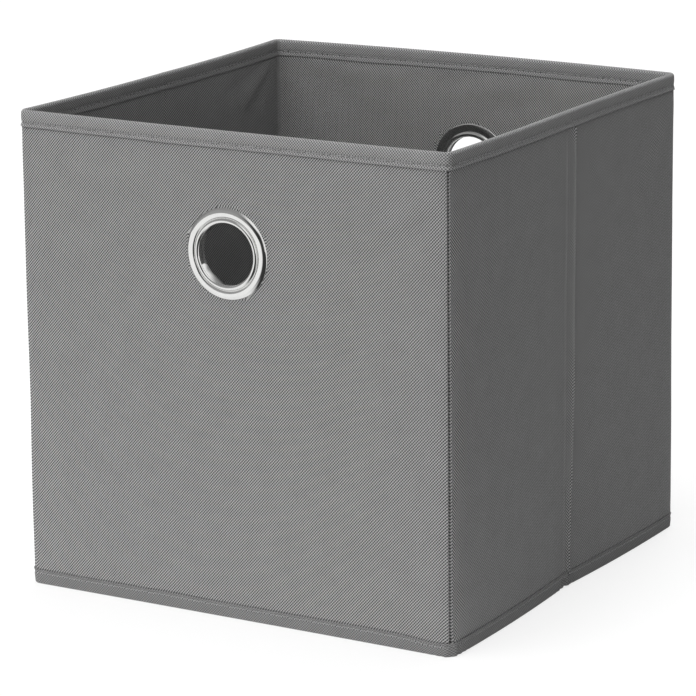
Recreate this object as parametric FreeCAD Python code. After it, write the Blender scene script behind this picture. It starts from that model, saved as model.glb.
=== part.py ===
import FreeCAD, Part
import math
import os

os.makedirs("parts", exist_ok=True)

V = FreeCAD.Vector

# Folding fabric storage box: card-stiffened cloth walls, taped rim and hem, an eyelet
# in the front wall and one in the rear wall, creased side walls and a loose base insert.
# Origin: centre of the footprint, on the surface the box stands on.
# +Z is up, the front wall looks along -Y, the right wall along +X.

# Overall size over the tapes, in millimetres
WIDTH = 320.0
DEPTH = 320.0
HEIGHT = 322.0

# Wall build-up, from outside to inside: tape, cover, card, lining, tape
TAPE = 0.6
CLOTH = 0.5
CARD = 2.0
WALL = CLOTH + CARD + CLOTH
RIM = TAPE + WALL + TAPE

# Rim tape and hem tape
RIM_DROP_OUT = 11.0
RIM_DROP_IN = 11.8
HEM_RISE = 10.0
HEM_LIFT = 0.3
HEM_ROUND = 2.5
HEM_UNDER = 5.4

# Where the layers of a wall stop
WALL_FOOT = 5.0
CARD_FOOT = 10.0
CARD_HEAD = 9.5
CARD_SIDE = 1.0
CORNER_RADIUS = 5.0
CREASE_HALF = 1.9
CREASE_GROOVE = 0.8
SEAM_DIP = 0.3
BODY_GAP = 0.3

# Eyelets: a face ring whose barrel goes through the wall and is rolled over a washer
EYELET_HEIGHT = 243.0
EYELET_BORE = 20.0
EYELET_RADIUS = 30.0
BARREL_RADIUS = 20.8
LIP_RADIUS = 23.7
FACE_RISE = 2.3
WASHER = 0.8
CLOTH_HOLE = 21.2
CARD_HOLE = 21.8

# Straight runs that stand for each bend of a section
RIM_RUNS = 4
HEM_RUNS = 2
LIP_RUNS = 3
DOME_RUNS = 4
ROLL_RUNS = 2

# Floor cloth and loose base insert
FLOOR = 0.8
FLOOR_HALF = 154.0
FLOOR_CREASE = 0.4
INSERT_HALF = 153.0
INSERT_FOOT = 1.1
INSERT_WRAP = 18.0
INSERT_CORNER = 6.0

# Fold geometry: a side wall turns at its corner about a line in the middle of its thickness,
# set back so that it comes to lie just behind the front or rear wall, and at its crease
# about a line just outside it. Both creases then stop short of the box's middle.
PIVOT_SIDE = RIM / 2
PIVOT_BACK = 1.5 * RIM + BODY_GAP
PIVOT_OUT = BODY_GAP
FOLD_LIMIT = 88.0

# Places that follow from the sizes above
RIM_BEND = HEIGHT - RIM / 2
COVER_FACE = -DEPTH / 2 + TAPE
CORNER_CENTRE = WIDTH / 2 - TAPE - CORNER_RADIUS
SEAM_HEAD = HEIGHT - TAPE
SEAM_FOOT = HEM_LIFT + TAPE


def save(name, shape):
    shape.exportStep(os.path.join("parts", name + ".step"))


def bend(start, through, end, runs):
    # An arc through three points of a section, as the ends of a few straight runs.
    arc = Part.Arc(V(*start, 0), V(*through, 0), V(*end, 0))
    step = (arc.LastParameter - arc.FirstParameter) / runs
    points = [arc.value(arc.FirstParameter + step * i) for i in range(1, runs)]
    return [(p.x, p.y) for p in points] + [end]


def outline(points, place):
    corners = [place(*point) for point in points]
    return Part.Face(Part.makePolygon(corners + corners[:1]))


def right_wall(shape):
    # Pieces are drawn in the front wall and turned to the right wall.
    copy = shape.copy()
    copy.rotate(V(0, 0, 0), V(0, 0, 1), 90)
    return copy


def left_for_right(shape):
    return shape.mirror(V(0, 0, 0), V(1, 0, 0))


def rear_for_front(shape):
    return shape.mirror(V(0, 0, 0), V(0, 1, 0))


# Wall layers: flat sheets between two stations along the wall, depth counted inward

def layer(x0, x1, depth, thickness, z0, z1, hole):
    y0 = -DEPTH / 2 + depth
    sheet = Part.makeBox(x1 - x0, thickness, z1 - z0, V(x0, y0, z0))
    if hole:
        punch = Part.makeCylinder(hole, 20.0, V(0, y0 - 5.0, EYELET_HEIGHT), V(0, 1, 0))
        sheet = sheet.cut(punch)
    return sheet


def cover(x0, x1, hole=0.0):
    return layer(x0, x1, TAPE, CLOTH, WALL_FOOT, RIM_BEND, hole)


def board(x0, x1, hole=0.0):
    low = x0 + CARD_SIDE
    high = x1 - CARD_SIDE
    return layer(low, high, TAPE + CLOTH, CARD, CARD_FOOT, HEIGHT - CARD_HEAD, hole)


def lining(x0, x1, hole=0.0):
    return layer(x0, x1, TAPE + CLOTH + CARD, CLOTH, WALL_FOOT, RIM_BEND, hole)


# Tape sections, drawn as depth from the outermost plane and height

def rim_section(place):
    middle = RIM / 2
    inside = RIM - TAPE
    low_in = HEIGHT - RIM_DROP_IN
    low_out = HEIGHT - RIM_DROP_OUT
    points = [(0.0, low_out), (0.0, RIM_BEND)]
    points += bend((0.0, RIM_BEND), (middle, HEIGHT), (RIM, RIM_BEND), RIM_RUNS)
    points += [(RIM, low_in), (inside, low_in), (inside, RIM_BEND)]
    points += bend((inside, RIM_BEND), (middle, HEIGHT - TAPE), (TAPE, RIM_BEND), RIM_RUNS)
    points += [(TAPE, low_out)]
    return outline(points, place)


def hem_section(place):
    low = HEM_LIFT
    turn = low + HEM_ROUND
    outer = HEM_ROUND * (1 - math.sqrt(0.5))
    inner = TAPE + (HEM_ROUND - TAPE) * (1 - math.sqrt(0.5))
    points = [(0.0, HEM_RISE), (0.0, turn)]
    points += bend((0.0, turn), (outer, low + outer), (HEM_ROUND, low), HEM_RUNS)
    points += [(HEM_UNDER, low), (HEM_UNDER, low + TAPE), (HEM_ROUND, low + TAPE)]
    points += bend((HEM_ROUND, low + TAPE), (inner, low + inner), (TAPE, turn), HEM_RUNS)
    points += [(TAPE, HEM_RISE)]
    return outline(points, place)


def seam_section(place):
    # Cover and lining sewn together without card, dipping under both faces of the wall.
    outer = TAPE + SEAM_DIP
    inner = TAPE + WALL - SEAM_DIP
    return outline([(outer, SEAM_FOOT), (outer, SEAM_HEAD), (inner, SEAM_HEAD), (inner, SEAM_FOOT)], place)


def run_along(section, x0, x1):
    face = section(lambda depth, z: V(x0, -DEPTH / 2 + depth, z))
    return face.extrude(V(x1 - x0, 0, 0))


def run_round_corner(section):
    face = section(lambda depth, z: V(CORNER_CENTRE, -DEPTH / 2 + depth, z))
    return face.revolve(V(CORNER_CENTRE, -CORNER_CENTRE, 0), V(0, 0, 1), 90)


# Cloth hinges: the front right corner, and the crease in the middle of a side wall

def corner_fold():
    strip = run_round_corner(seam_section)
    tapes = [run_round_corner(rim_section), run_round_corner(hem_section)]
    return strip.multiFuse(tapes).removeSplitter()


def crease_fold():
    outer = TAPE + SEAM_DIP
    inner = TAPE + WALL - SEAM_DIP
    points = [
        (-CREASE_HALF, outer),
        (0.0, outer + CREASE_GROOVE),
        (CREASE_HALF, outer),
        (CREASE_HALF, inner),
        (-CREASE_HALF, inner),
    ]
    face = outline(points, lambda x, depth: V(x, -DEPTH / 2 + depth, SEAM_FOOT))
    strip = face.extrude(V(0, 0, SEAM_HEAD - SEAM_FOOT))
    tapes = [run_along(section, -CREASE_HALF, CREASE_HALF) for section in (rim_section, hem_section)]
    return strip.multiFuse(tapes).removeSplitter()


# Eyelet pieces: sections of radius and rise from the cover, turned round the bore's axis

def turned(points):
    face = outline(points, lambda radius, rise: V(radius, COVER_FACE - rise, EYELET_HEIGHT))
    return face.revolve(V(0, 0, EYELET_HEIGHT), V(0, 1, 0), 360)


def eyelet():
    # From the bore over the rolled inner lip, the valley and the domed flange to its edge,
    # then behind the flange, along the barrel and round the end rolled over the washer.
    back = -WALL - WASHER
    crest = EYELET_BORE + 1.7
    edge = EYELET_RADIUS - 0.3
    valley = 1.2
    points = [(EYELET_BORE, 0.9)]
    points += bend((EYELET_BORE, 0.9), (crest, FACE_RISE), (LIP_RADIUS - 0.1, valley), LIP_RUNS)
    points += [(LIP_RADIUS + 0.2, valley)]
    points += bend((LIP_RADIUS + 0.2, valley), (27.2, FACE_RISE), (EYELET_RADIUS, 0.7), DOME_RUNS)
    points += [(edge, 0.0), (BARREL_RADIUS, 0.0), (BARREL_RADIUS, back), (LIP_RADIUS, back)]
    points += bend((LIP_RADIUS, back), (crest, back - 1.2), (EYELET_BORE, back), ROLL_RUNS)
    return turned(points)


def eyelet_washer():
    back = -WALL - WASHER
    rim = EYELET_RADIUS - 0.3
    return turned([(CLOTH_HOLE, -WALL), (CLOTH_HOLE, back), (rim, back), (rim, -WALL)])


# Whole walls: the pieces between two stations along the wall

def eyelet_wall():
    half = CORNER_CENTRE
    return {
        "cover": cover(-half, half, CLOTH_HOLE),
        "board": board(-half, half, CARD_HOLE),
        "lining": lining(-half, half, CLOTH_HOLE),
        "eyelet": eyelet(),
        "eyelet_washer": eyelet_washer(),
        "rim_tape": run_along(rim_section, -half, half),
        "hem": run_along(hem_section, -half, half),
    }


def side_half(x0, x1):
    return {
        "cover": cover(x0, x1),
        "board": board(x0, x1),
        "lining": lining(x0, x1),
        "rim_tape": run_along(rim_section, x0, x1),
        "hem": run_along(hem_section, x0, x1),
    }


# Floor cloth with its pinched fold line, and the loose insert with its cloth wrap

def floor_cloth():
    half = FLOOR_HALF
    points = [
        (-half, 0.0),
        (-2.0, 0.0),
        (0.0, FLOOR_CREASE),
        (2.0, 0.0),
        (half, 0.0),
        (half, FLOOR),
        (-half, FLOOR),
    ]
    face = outline(points, lambda y, z: V(-half, y, z))
    sheet = face.extrude(V(2 * half, 0, 0))
    upright = [e for e in sheet.Edges if abs(e.tangentAt(e.FirstParameter).z) > 0.9]
    return sheet.makeFillet(4.0, upright)


def round_plate(half, z0, z1, corner):
    plate = Part.makeBox(2 * half, 2 * half, z1 - z0, V(-half, -half, z0))
    upright = [e for e in plate.Edges if abs(e.tangentAt(e.FirstParameter).z) > 0.9]
    return plate.makeFillet(corner, upright)


def insert_pieces():
    low = INSERT_FOOT
    card_low = low + CLOTH
    card_high = card_low + CARD
    card = round_plate(INSERT_HALF - CLOTH, card_low, card_high, INSERT_CORNER - CLOTH)
    wrap = round_plate(INSERT_HALF, low, card_high + CLOTH, INSERT_CORNER)
    window = round_plate(INSERT_HALF - INSERT_WRAP, low - 1.0, card_low + 0.5, 2.0)
    return card, wrap.cut(card).cut(window)


def fold_report():
    # Distance between front and rear pivots, and where the creases end, at the fold limit.
    turn = math.radians(FOLD_LIMIT)
    reach = DEPTH / 2 - PIVOT_BACK
    offset = PIVOT_SIDE + PIVOT_OUT
    gap = 2 * (offset * math.sin(turn) + reach * math.cos(turn))
    crease = WIDTH / 2 - PIVOT_SIDE + offset * math.cos(turn) - reach * math.sin(turn)
    print("folded pack %.1f mm thick, creases %.1f mm from the middle" % (gap + 2 * PIVOT_BACK, crease))


def main():
    for name, shape in eyelet_wall().items():
        save("front_" + name, shape)
        save("rear_" + name, rear_for_front(shape))

    near = CREASE_HALF + BODY_GAP
    far = CORNER_CENTRE - BODY_GAP
    halves = {
        "front": side_half(-far, -CREASE_HALF),
        "rear": side_half(near, far),
    }
    for end, pieces in halves.items():
        for name, shape in pieces.items():
            right = right_wall(shape)
            save("right_" + end + "_" + name, right)
            save("left_" + end + "_" + name, left_for_right(right))

    corner = corner_fold()
    save("corner_fold_front_right", corner)
    save("corner_fold_front_left", left_for_right(corner))
    save("corner_fold_rear_right", rear_for_front(corner))
    save("corner_fold_rear_left", left_for_right(rear_for_front(corner)))

    crease = right_wall(crease_fold())
    save("crease_fold_right", crease)
    save("crease_fold_left", left_for_right(crease))

    save("floor_cloth", floor_cloth())
    card, wrap = insert_pieces()
    save("insert_board", card)
    save("insert_wrap", wrap)
    fold_report()


main()
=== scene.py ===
import math

import bmesh
import bpy
import numpy as np
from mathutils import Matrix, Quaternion, Vector


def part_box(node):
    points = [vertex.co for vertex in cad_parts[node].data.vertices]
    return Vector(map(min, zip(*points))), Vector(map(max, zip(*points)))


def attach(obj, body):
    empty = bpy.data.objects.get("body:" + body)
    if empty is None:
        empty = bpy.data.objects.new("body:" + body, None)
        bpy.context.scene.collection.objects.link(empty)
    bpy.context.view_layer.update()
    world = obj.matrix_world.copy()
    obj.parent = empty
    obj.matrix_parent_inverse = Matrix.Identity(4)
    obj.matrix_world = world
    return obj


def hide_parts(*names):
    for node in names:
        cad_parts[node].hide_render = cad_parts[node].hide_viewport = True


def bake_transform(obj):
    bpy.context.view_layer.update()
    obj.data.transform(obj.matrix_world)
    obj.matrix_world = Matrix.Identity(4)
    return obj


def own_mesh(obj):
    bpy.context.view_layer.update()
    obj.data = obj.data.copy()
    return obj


# Looks of a folding fabric storage box. Everything is in metres, in the frame of the packed
# model: origin at the centre of the footprint on the ground, front wall towards -Y, right
# wall towards +X. Cloth pieces are drawn on one unrolled perimeter, so that they meet.

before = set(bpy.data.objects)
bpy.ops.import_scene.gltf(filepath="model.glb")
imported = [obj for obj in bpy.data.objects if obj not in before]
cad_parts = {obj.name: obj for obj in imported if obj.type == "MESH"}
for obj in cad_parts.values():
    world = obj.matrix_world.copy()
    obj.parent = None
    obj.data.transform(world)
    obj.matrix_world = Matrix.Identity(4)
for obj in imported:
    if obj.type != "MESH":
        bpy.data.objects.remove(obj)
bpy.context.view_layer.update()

MM = 0.001

# Sizes read from the frame
tape_low, tape_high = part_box("front_rim_tape")
cover_low, cover_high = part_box("front_cover")
board_low, board_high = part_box("front_board")
hem_low, hem_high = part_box("front_hem")
eyelet_low, eyelet_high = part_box("front_eyelet")
insert_low, insert_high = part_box("insert_wrap")
_, lining_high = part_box("front_lining")
_, side_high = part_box("right_front_cover")

HALF = -tape_low.y
HEIGHT = tape_high.z
RIM = tape_high.y - tape_low.y
STRAIGHT = tape_high.x
CORNER = HALF - STRAIGHT
TAPE = cover_low.y - tape_low.y
CLOTH = cover_high.y - cover_low.y
INNER_FACE = lining_high.y - tape_low.y
CARD_OUT = board_low.y - tape_low.y
CARD_IN = board_high.y - tape_low.y
CARD_FOOT = board_low.z
CARD_HEAD = board_high.z
CARD_END = board_high.x
HEM_TOP = hem_high.z
HEM_BOTTOM = hem_low.z - 0.2 * MM
HEM_UNDER = hem_high.y - hem_low.y
CREASE = -side_high.y
EYELET_HEIGHT = (eyelet_low.z + eyelet_high.z) / 2

# The unrolled perimeter: 0 is the middle of the front wall, and each quarter turn adds QUARTER
ARC = (CORNER - TAPE) * math.pi / 2
QUARTER = 2 * STRAIGHT + ARC
FRONT, RIGHT, REAR, LEFT = 0.0, QUARTER, 2 * QUARTER, 3 * QUARTER
TURN = 4 * QUARTER

# Rim tape and hem
RIM_DROP_OUT = 11.0 * MM
RIM_DROP_IN = HEIGHT - tape_low.z
RIM_STITCH = 8.2 * MM
RIM_NARROWING = 1.25 * MM
HEM_ROUND = 0.8 * MM
HEM_STITCH = 2.2 * MM
HEM_TUCK = 0.7 * MM
STITCH_PITCH = 4.5 * MM
STITCH_RADIUS = 0.36 * MM

# The cloth faces stand this much nearer to the tape's face than in the solid model
CLOTH_LIFT = 0.25 * MM

SEED = 7


# Where a point of the unrolled cloth is: along the perimeter, in from the outermost face, up

def place(s, depth, z):
    s, depth, z = np.broadcast_arrays(*(np.asarray(v, float) for v in (s, depth, z)))
    quarter = np.floor((s + STRAIGHT) / QUARTER)
    t = s - quarter * QUARTER
    angle = np.clip((t - STRAIGHT) / ARC, 0, 1) * math.pi / 2
    radius = CORNER - depth
    along = np.where(t > STRAIGHT, STRAIGHT + radius * np.sin(angle), t)
    out = np.where(t > STRAIGHT, STRAIGHT + radius * np.cos(angle), HALF - depth)
    cos = np.round(np.cos(quarter * math.pi / 2))
    sin = np.round(np.sin(quarter * math.pi / 2))
    x = along * cos + out * sin
    y = along * sin - out * cos
    return np.stack([x, y, z], axis=-1)


def around(s, middle):
    """Distance along the perimeter from a station, the short way round."""
    return (np.asarray(s) - middle + TURN / 2) % TURN - TURN / 2


def bell(distance, width):
    return np.exp(-0.5 * (distance / width) ** 2)


def step(x, start, end):
    t = np.clip((x - start) / (end - start), 0, 1)
    return t * t * (3 - 2 * t)


# Where along its length a fold starts to show and fades out, and how it widens on the way
FOLD_STARTS = (-0.15, 0.25)
FOLD_FADES = (0.75, 1.15)
FOLD_WIDENS = (0.6, 0.8)


def fold_line(s, z, wall, start, end, width, height):
    """A soft fold between two points of a wall, each (along, up) in millimetres."""
    s0, z0 = start[0] * MM + wall, start[1] * MM
    s1, z1 = end[0] * MM + wall, end[1] * MM
    ds, dz = s1 - s0, z1 - z0
    length = math.hypot(ds, dz)
    u, v = around(s, s0), z - z0
    run = (u * ds + v * dz) / length ** 2
    off = (v * ds - u * dz) / length
    fade = step(run, *FOLD_STARTS) * (1 - step(run, *FOLD_FADES))
    first, more = FOLD_WIDENS
    return height * MM * fade * bell(off, width * MM * (first + more * np.clip(run, 0, 1)))


def all_folds(s, z, walls):
    return sum(fold_line(s, z, wall, *fold) for wall, folds in walls.items() for fold in folds)


def spline_weights(t):
    """Weights of the four grid values round a point, as a smooth spline has them."""
    return (
        (1 - t) ** 3 / 6,
        (3 * t ** 3 - 6 * t ** 2 + 4) / 6,
        (-3 * t ** 3 + 3 * t ** 2 + 3 * t + 1) / 6,
        t ** 3 / 6,
    )


def cloud(s, z, cell, seed, amount):
    """Smooth random relief, the same at both ends of the perimeter."""
    count = max(4, round(TURN / cell))
    rows = max(3, round(HEIGHT / cell)) + 3
    grid = np.random.default_rng(seed).uniform(-1, 1, (count, rows))
    a = (np.asarray(s) % TURN) / TURN * count
    b = np.clip(z / HEIGHT, 0, 1) * (rows - 3) + 1
    i, j = np.floor(a).astype(int), np.floor(b).astype(int)
    total = 0.0
    for di, wa in enumerate(spline_weights(a - i)):
        for dj, wb in enumerate(spline_weights(b - j)):
            row = np.clip(j + dj - 1, 0, rows - 1)
            total = total + wa * wb * grid[(i + di - 1) % count, row]
    return amount * total


# How the walls stand, out of their planes: at the rim and at the foot, in millimetres.
# All lean out a little. A front or rear wall swells in the middle. A side wall moves at its
# crease, and each of its halves swells of its own.
LEAN = (0.3, 1.8)
SWELL = {FRONT: (1.9, -0.7), REAR: (6.3, 0.0)}
CREASE_MOVE = {RIGHT: (-0.4, -3.4), LEFT: (-4.8, 0.0)}
HALF_SWELL = {RIGHT: ((1.45, 2.06), (-0.81, 1.74)), LEFT: ((-1.8, 0.0), (-1.8, 0.0))}


def between(z, ends):
    """A value in millimetres that goes evenly from the foot of a wall to its rim."""
    top, foot = ends
    return (foot + (top - foot) * z / HEIGHT) * MM


def stance(s, z):
    """How far a wall as a whole stands out of its plane."""
    total = between(z, LEAN)
    for wall, ends in SWELL.items():
        share = np.clip(around(s, wall) / STRAIGHT, -1, 1)
        total = total + between(z, ends) * (1 - share ** 2)
    for wall, ends in CREASE_MOVE.items():
        share = np.clip(around(s, wall) / STRAIGHT, -1, 1)
        size = np.abs(share)
        before, after = HALF_SWELL[wall]
        swell = np.where(share < 0, between(z, before), between(z, after))
        total = total + between(z, ends) * (1 - size) + swell * 4 * size * (1 - size)
    return total


# Folds of the cover and the lining on each wall: start, end, width, height in millimetres
COVER_FOLDS = {
    FRONT: (
        ((146, 291), (100, 258), 3.6, 0.60), ((140, 276), (104, 250), 4.0, -0.60),
        ((150, 262), (118, 236), 5.0, 0.40), ((136, 192), (120, 158), 4.5, 0.55),
        ((129, 146), (114, 106), 5.0, 0.50), ((126, 90), (110, 46), 5.0, 0.50),
        ((92, 236), (84, 92), 9.0, -0.45), ((112, 222), (104, 122), 8.0, 0.35),
        ((-120, 240), (-110, 90), 14.0, -0.30),
    ),
    RIGHT: (
        ((15, 310), (52, 262), 3.0, 0.50), ((24, 306), (40, 255), 3.0, -0.40),
        ((-8, 306), (-40, 262), 3.0, 0.50), ((-16, 304), (-30, 268), 2.6, -0.40),
        ((152, 300), (104, 236), 6.0, 0.80), ((140, 306), (88, 250), 6.0, -0.60),
        ((-96, 256), (-124, 196), 7.0, 0.50),
    ),
    REAR: (
        ((140, 290), (96, 250), 5.0, 0.5), ((-148, 285), (-108, 252), 5.0, -0.5),
        ((-120, 130), (-96, 50), 8.0, 0.4),
    ),
    LEFT: (
        ((-4, 306), (-34, 258), 3.0, 0.4), ((12, 306), (44, 262), 3.4, 0.4),
        ((-146, 292), (-104, 240), 6.0, 0.6),
    ),
}

LINING_FOLDS = {
    REAR: (
        ((140, 305), (40, 300), 3.2, 0.75), ((60, 299), (2, 303), 2.4, -0.80),
        ((20, 293), (-46, 303), 3.0, 0.70), ((-60, 292), (-110, 309), 4.0, 0.60),
        ((-20, 284), (-84, 296), 3.4, -0.60), ((96, 292), (40, 276), 6.0, 0.50),
    ),
    LEFT: (
        ((-150, 309), (-98, 280), 3.2, 1.20), ((-146, 304), (-112, 272), 2.4, -1.00),
        ((-151, 302), (-128, 268), 2.2, 0.90), ((-140, 309), (-76, 297), 3.0, -0.70),
        ((-112, 308), (-54, 296), 4.0, 0.50), ((-30, 300), (-64, 270), 5.0, 0.40),
    ),
    RIGHT: (
        ((12, 306), (60, 268), 4.0, 0.6), ((-10, 306), (-50, 262), 4.0, 0.6),
    ),
    FRONT: (
        ((-140, 300), (-90, 262), 4.0, 0.6), ((140, 300), (92, 262), 4.0, -0.6),
    ),
}

# Crease lines of the side walls: at the rim and at the hem, in millimetres from the middle, and
# the heights between which they cross over
CREASE_LINES = {RIGHT: (6.7, 2.2), LEFT: (-2.0, 1.0)}
CREASE_CROSSES = (-30 * MM, 160 * MM)

# A crease has a broad ridge and a sharp edge on it: height, reach before it, reach behind it
RIDGE = (1.1 * MM, 5.0 * MM, 4.5 * MM)
EDGE = (1.3 * MM, 1.0 * MM, 0.45 * MM)

# The corner seams: a narrow dip in the middle of each bend. The cloth is drawn in towards it from
# either side and turns just before it. SEAM_SHARES says how much of that each corner has.
SEAM_DIP = 3.2 * MM
SEAM_WIDTH = 0.42 * MM
SEAM_SHARES = (1.0, 0.15, 0.25, 0.25)
DRAW_BEFORE = 1.4 * MM
DRAW_AFTER = 2.1 * MM
DRAW_REACH = 7.5 * MM
TURN_BEFORE = 1.0 * MM
TURN_REACH = 1.5 * MM

# Beyond each seam the cloth swells: at the rim and at the foot in millimetres, and where
SWELL_BEYOND = (0.30, 0.75)
SWELL_START = 10 * MM
SWELL_END = 46 * MM


def crease_relief(s, z):
    """The cloth rises to a creased edge, drops behind it and flattens out slowly."""
    total = 0.0
    for wall, (top, foot) in CREASE_LINES.items():
        line = foot + (top - foot) * step(z, *CREASE_CROSSES)
        off = around(s, wall + line * MM)
        before, behind = np.minimum(off, 0), np.maximum(off, 0)
        height, reach, fall = RIDGE
        total = total + height * np.exp(before / reach) * np.exp(-behind / fall)
        height, reach, drop = EDGE
        total = total + height * np.exp(before / reach) * (1 - step(off, 0, drop))
    return total


def corner_sides():
    """For each corner, the way from its seam to the swollen side, its seam and its share."""
    for quarter, share in enumerate(SEAM_SHARES):
        sign = 1 if quarter in (0, 2) else -1
        yield sign, quarter * QUARTER + STRAIGHT + ARC / 2, share


def corner_relief(s, z):
    """The cloth runs flat and drawn in to each corner seam, and swells a little beyond it."""
    total = 0.0
    for sign, seam, share in corner_sides():
        off = sign * around(s, seam)
        bend = np.clip(1 - np.abs(off) / (ARC / 2), 0, 1) * math.pi / 4
        flat = CORNER * (1 / np.cos(bend) - 1)
        turn = TURN_BEFORE * np.exp(-np.abs(off) / TURN_REACH)
        draw = np.where(off < 0, DRAW_BEFORE, DRAW_AFTER) * np.exp(-np.abs(off) / DRAW_REACH)
        swell = step(off, 0, SWELL_START) * (1 - step(off, SWELL_START, SWELL_END))
        total = total + between(z, SWELL_BEYOND) * swell
        total = total + share * (flat - draw - np.where(off < 0, turn, 0))
    return total * seam_share(z)


def seam_share(z):
    """The corner seams almost end under the tapes."""
    under_hem = 1 - step(z, HEM_TOP, HEM_TOP + 3 * MM)
    under_rim = step(z, HEIGHT - 14 * MM, HEIGHT - 10.5 * MM)
    return 1 - 0.85 * np.maximum(under_hem, under_rim)


def seam_dip(s):
    """How deep the seams pinch the cover."""
    return sum(SEAM_DIP * bell(around(s, seam), SEAM_WIDTH) for _, seam, _ in corner_sides())


# A wall's cloth is held at its foot and rim and free between: where that starts and ends
FOOT_HOLDS = (8 * MM, 30 * MM)
RIM_HOLDS = HEIGHT - 9 * MM
COVER_FREE = HEIGHT - 30 * MM
LINING_FREE = HEIGHT - 24 * MM


def freedom(z, held_from):
    """1 where the cloth is free, 0 where the foot or the rim holds it."""
    return step(z, *FOOT_HOLDS) * (1 - step(z, held_from, RIM_HOLDS))


def wall_relief(s, z):
    """How far the outside of the wall stands out of its plane, without its seams."""
    loose = 0.25 + 0.75 * freedom(z, COVER_FREE)
    total = all_folds(s, z, COVER_FOLDS)
    total = total + cloud(s, z, 42 * MM, SEED, 0.55 * MM) * loose
    total = total + cloud(s, z, 15 * MM, SEED + 1, 0.10 * MM) * loose
    total = np.maximum(total, -0.35 * MM)
    crease = crease_relief(s, z) * (1 - 0.6 * step(z, HEIGHT - 14 * MM, RIM_HOLDS))
    return total + crease + corner_relief(s, z) + stance(s, z)


# Gaps at the edges of the tapes: depth, how far above the edge they lie, and width
HEM_GAP = (0.75 * MM, 0.35 * MM, 0.24 * MM)
RIM_GAP = (0.25 * MM, -0.45 * MM, 0.32 * MM)
RIM_GAP_FRONT = 0.35 * MM
LINING_GAP = (0.45 * MM, -0.45 * MM, 0.36 * MM)


def gap(above_edge, depth, middle, width, more=0.0):
    return (depth + more) * bell(above_edge - middle, width)


def cover_relief(s, z):
    """The outside of the cover, with its corner seams and the gaps at the edges of the tapes."""
    gaps = gap(z - hem_top(s), *HEM_GAP)
    gaps = gaps + gap(z - rim_edge_out(s), *RIM_GAP, RIM_GAP_FRONT * front_share(s))
    return wall_relief(s, z) - seam_dip(s) - gaps + CLOTH_LIFT


def lining_relief(s, z):
    """How far the lining stands into the box."""
    free = freedom(z, LINING_FREE)
    total = all_folds(s, z, LINING_FOLDS) * (0.35 + 0.65 * free)
    total = total + cloud(s, z, 36 * MM, SEED + 2, 0.7 * MM) * (0.2 + 0.8 * free)
    for wall in (RIGHT, LEFT):
        total = total - 0.4 * MM * bell(around(s, wall), 0.8 * MM)
    return np.maximum(total, -0.3 * MM) - gap(z - rim_edge_in(s), *LINING_GAP) - stance(s, z)


# Edges of the tapes, which wander a little

def wander(s, seed, amount):
    """A slow random drift along the perimeter."""
    return cloud(s, np.full_like(s, HEIGHT / 2), 24 * MM, seed, amount)


# Where the hem's edge dips or rises: station, width and rise
HEM_DIPS = [
    (STRAIGHT - 8 * MM, 9 * MM, -1.3 * MM),
    (RIGHT, 5 * MM, 0.9 * MM),
    (LEFT, 5 * MM, 0.8 * MM),
]


def hem_top(s):
    rise = wander(s, SEED + 5, 0.45 * MM)
    for station, width, amount in HEM_DIPS:
        rise = rise + amount * bell(around(s, station), width)
    return HEM_TOP + rise


def rim_edge_out(s):
    return HEIGHT - RIM_DROP_OUT + wander(s, SEED + 3, 0.45 * MM)


def rim_edge_in(s):
    return HEIGHT - RIM_DROP_IN + wander(s, SEED + 4, 0.6 * MM)


# Mesh helpers

# How far apart the points of a sheet lie, and of any piece near a seam or an edge
SHEET_PITCH = 4.0 * MM
FINE_PITCH = 0.22 * MM
SEAM_REACH = 6 * MM
EDGE_REACH = 1.6 * MM
EDGE_FADE = 3.5 * MM


def add_object(name, data):
    obj = bpy.data.objects.new(name, data)
    bpy.context.scene.collection.objects.link(obj)
    return obj


def new_object(name, points, faces, material, uvs=None, flat=0):
    """A mesh piece, smooth but for its last faces, as many as flat says."""
    mesh = bpy.data.meshes.new(name)
    mesh.from_pydata([tuple(p) for p in points], [], [tuple(f) for f in faces])
    if uvs is not None:
        layer = mesh.uv_layers.new(name="cloth")
        loops = np.zeros(len(mesh.loops), int)
        mesh.loops.foreach_get("vertex_index", loops)
        layer.uv.foreach_set("vector", np.asarray(uvs, np.float32)[loops].ravel())
    mesh.polygons.foreach_set("use_smooth", [True] * (len(faces) - flat) + [False] * flat)
    mesh.materials.append(material)
    mesh.update()
    return add_object(name, mesh)


def grid_faces(columns, rows, start=0, flip=False, closed=False, ring=False):
    """Quads of a grid whose points run row by row within each column.

    The rows meet round the section when closed, and the last column meets the first in a ring.
    """
    faces = []
    for i in range(columns if ring else columns - 1):
        here, there = start + i * rows, start + (i + 1) % columns * rows
        for j in range(rows if closed else rows - 1):
            k = (j + 1) % rows
            a, b, c, d = here + j, here + k, there + k, there + j
            faces.append((a, b, c, d) if flip else (a, d, c, b))
    return faces


def tube_faces(columns, rows, start=0, flip=False):
    """Quads of a closed section carried along, and then its two end caps."""
    first = range(start, start + rows)
    last = range(start + (columns - 1) * rows, start + columns * rows)[::-1]
    caps = [first[::-1], last[::-1]] if flip else [first, last]
    return grid_faces(columns, rows, start, flip, closed=True) + caps


def border_faces(columns, rows):
    """Quads that join the edges of two equal grids, the second after the first."""
    count = columns * rows
    low, high = range(0, count, rows), range(rows - 1, count, rows)
    first, last = range(rows), range(count - rows, count)
    faces = []
    for border, turned in ((low, False), (high, True), (first, True), (last, False)):
        other = [k + count for k in border]
        one, two = (other, border) if turned else (border, other)
        faces += zip(one, one[1:], two[1:], two)
    return faces


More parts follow.
